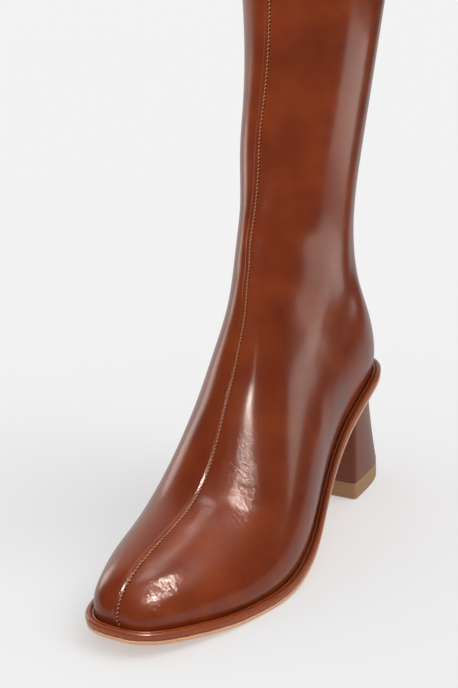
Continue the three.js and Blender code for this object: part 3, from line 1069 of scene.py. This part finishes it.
def makeWorld():
    world = bpy.data.worlds.new("paleStudio")
    bpy.context.scene.world = world
    world.use_nodes = True
    world.cycles.sampling_method = "NONE"  # so that gloss mirrors its own share of the light
    world.node_tree.nodes.clear()
    way = addNode(world, "ShaderNodeTexCoord").outputs["Generated"]
    level = studio["mirrored"]
    back = addNode(world, "ShaderNodeVectorMath", {"operation": "DOT_PRODUCT"}, {
        0: way, 1: direction(*level["backAt"]),
    })
    behind = fade(world, back.outputs["Value"], *level["backEdge"], level["front"], level["back"])
    parts = addNode(world, "ShaderNodeSeparateXYZ", None, {"Vector": way})
    above = fade(world, parts.outputs["Z"], *level["zenithEdge"], 0, level["zenith"])
    total = compute(world, "ADD", behind, above)
    path = addNode(world, "ShaderNodeLightPath")
    gloss = addNode(world, "ShaderNodeMapRange", None, {
        "Value": path.outputs["Is Glossy Ray"], "To Min": studio["softWorld"], "To Max": total,
    })
    strength = addNode(world, "ShaderNodeMapRange", None, {
        "Value": path.outputs["Is Camera Ray"], "To Min": gloss.outputs[0], "To Max": studio["seenWorld"],
    })
    tint = mixColour(world, path.outputs["Is Glossy Ray"], linear("#ffffff"), linear(studio["mirroredHex"]))
    glow = addNode(world, "ShaderNodeBackground", None, {"Color": tint, "Strength": strength.outputs[0]})
    addNode(world, "ShaderNodeOutputWorld", None, {"Surface": glow.outputs[0]})
    bpy.context.scene.view_settings.view_transform = "Standard"


def faceBack(holder, back):
    # a lamp shines along its own -Z, so its Z points back at where the light comes from
    holder.rotation_euler = back.to_track_quat("Z", "Y").to_euler()


def lightOnly(holder, name, pieces):
    lit = bpy.data.collections.get(name) or bpy.data.collections.new(name)
    for piece in pieces:
        if piece.name not in lit.objects:
            lit.objects.link(piece)
    holder.light_linking.receiver_collection = lit


def makeCard(card, boot):
    # a soft lamp that the camera can't see and that leaves the floor alone
    lamp = bpy.data.lights.new(card["name"], "AREA")
    lamp.shape = "RECTANGLE"
    lamp.size, lamp.size_y = card["width"], card["height"]
    lamp.color = linear(studio["mirroredHex"])[:3]
    lamp.energy = card["radiance"] * math.pi * card["width"] * card["height"]
    lamp.spread = math.radians(card["spread"])
    holder = place(card["name"], lamp)
    back = direction(card["azimuth"], card["elevation"])
    target = Vector(origin) + Vector(card["aim"]) if card["aim"] else centre
    holder.location = target + back * card["distance"]
    faceBack(holder, back)
    holder.visible_camera = False
    holder.visible_glossy = card["rays"] != "diffuse"
    holder.visible_diffuse = card["rays"] != "gloss"
    lightOnly(holder, "litByCards", boot)


def makeLights(boot, floor):
    for row in studio["cards"]:
        makeCard(dict(zip(studio["cardColumns"], row)), boot)
    # one soft sun for the floor alone, which lays the boot's shadow on it
    shade = studio["shadeSun"]
    sun = bpy.data.lights.new("shadeSun", "SUN")
    sun.angle, sun.energy = math.radians(shade["spread"]), shade["strength"]
    holder = place("shadeSun", sun)
    faceBack(holder, direction(shade["azimuth"], shade["elevation"]))
    lightOnly(holder, "litBySun", [floor])


def matPaper():
    # pale matt paper; mirrored rays see a painted glow in its place, bright near the boot and dark in front
    # of it and beside it, as if the paper ended there
    material = bareMaterial("mattePaperFloor")
    paper = addNode(material, "ShaderNodeBsdfPrincipled", None, {
        "Base Color": linear(studio["floorHex"]),
        "Roughness": 0.9,
        "Specular IOR Level": 0.0,
        "Emission Color": linear("#ffffff"),
        "Emission Strength": studio["floorGlow"],
    })
    # painted reflection: a glow, no lamp, that only mirrored rays see, strong near the boot and faint
    # farther out
    level = studio["floorGlowForGloss"]
    where = objectSpace(material)
    parts = addNode(material, "ShaderNodeSeparateXYZ", None, {"Vector": where})
    start, end = level["ahead"]
    ahead = fade(material, parts.outputs["Y"], -start, -end, level["near"], level["far"])
    aside = fade(material, parts.outputs["X"], *level["aside"], level["near"], level["far"])
    mirrored = addNode(material, "ShaderNodeEmission", None, {
        "Color": linear("#ffffff"), "Strength": compute(material, "MINIMUM", ahead, aside),
    })
    path = addNode(material, "ShaderNodeLightPath")
    seen = addNode(material, "ShaderNodeMixShader", None, {
        0: path.outputs["Is Glossy Ray"], 1: paper.outputs[0], 2: mirrored.outputs[0],
    })
    addNode(material, "ShaderNodeOutputMaterial", None, {"Surface": seen.outputs[0]})
    return material


def makeFloor():
    reach, corners = studio["floorRadius"], studio["floorCorners"]
    angles = [2 * math.pi * k / corners for k in range(corners)]
    points = [(reach * math.cos(a), reach * math.sin(a), -studio["floorLow"]) for a in angles]
    mesh = bpy.data.meshes.new("floor")
    mesh.from_pydata(points, [], [list(range(corners))])
    mesh.materials.append(matPaper())
    floor = place("floor", mesh)
    return floor


cameraPlace = {
    "azimuth": 30.8, "elevation": 17.6, "distance": 0.640, "roll": -2.91,
    "aim": (-10.5, -112.45, 115.3),  # millimetres of the form
    "lens": 58.84, "sensor": 36,
    "shift": (-0.01922, 0.00481),
    "clip": (0.01, 50),
}


def makeCamera():
    camera = bpy.data.cameras.new("camera")
    camera.lens, camera.sensor_width = cameraPlace["lens"], cameraPlace["sensor"]
    camera.shift_x, camera.shift_y = cameraPlace["shift"]
    camera.clip_start, camera.clip_end = cameraPlace["clip"]
    holder = place("camera", camera)
    back = direction(cameraPlace["azimuth"], cameraPlace["elevation"])
    right = (-back).cross(Vector((0, 0, 1))).normalized()
    up = back.cross(right)
    roll = math.radians(cameraPlace["roll"])
    x = right * math.cos(roll) + up * math.sin(roll)
    y = up * math.cos(roll) - right * math.sin(roll)
    aim = Vector(cameraPlace["aim"]) / 1000 + Vector(origin)
    matrix = Matrix((x, y, back)).transposed().to_4x4()
    matrix.translation = aim + back * cameraPlace["distance"]
    holder.matrix_world = matrix
    bpy.context.scene.camera = holder


makeWorld()
makeLights(boot, makeFloor())
makeCamera()
print("studio and camera set")
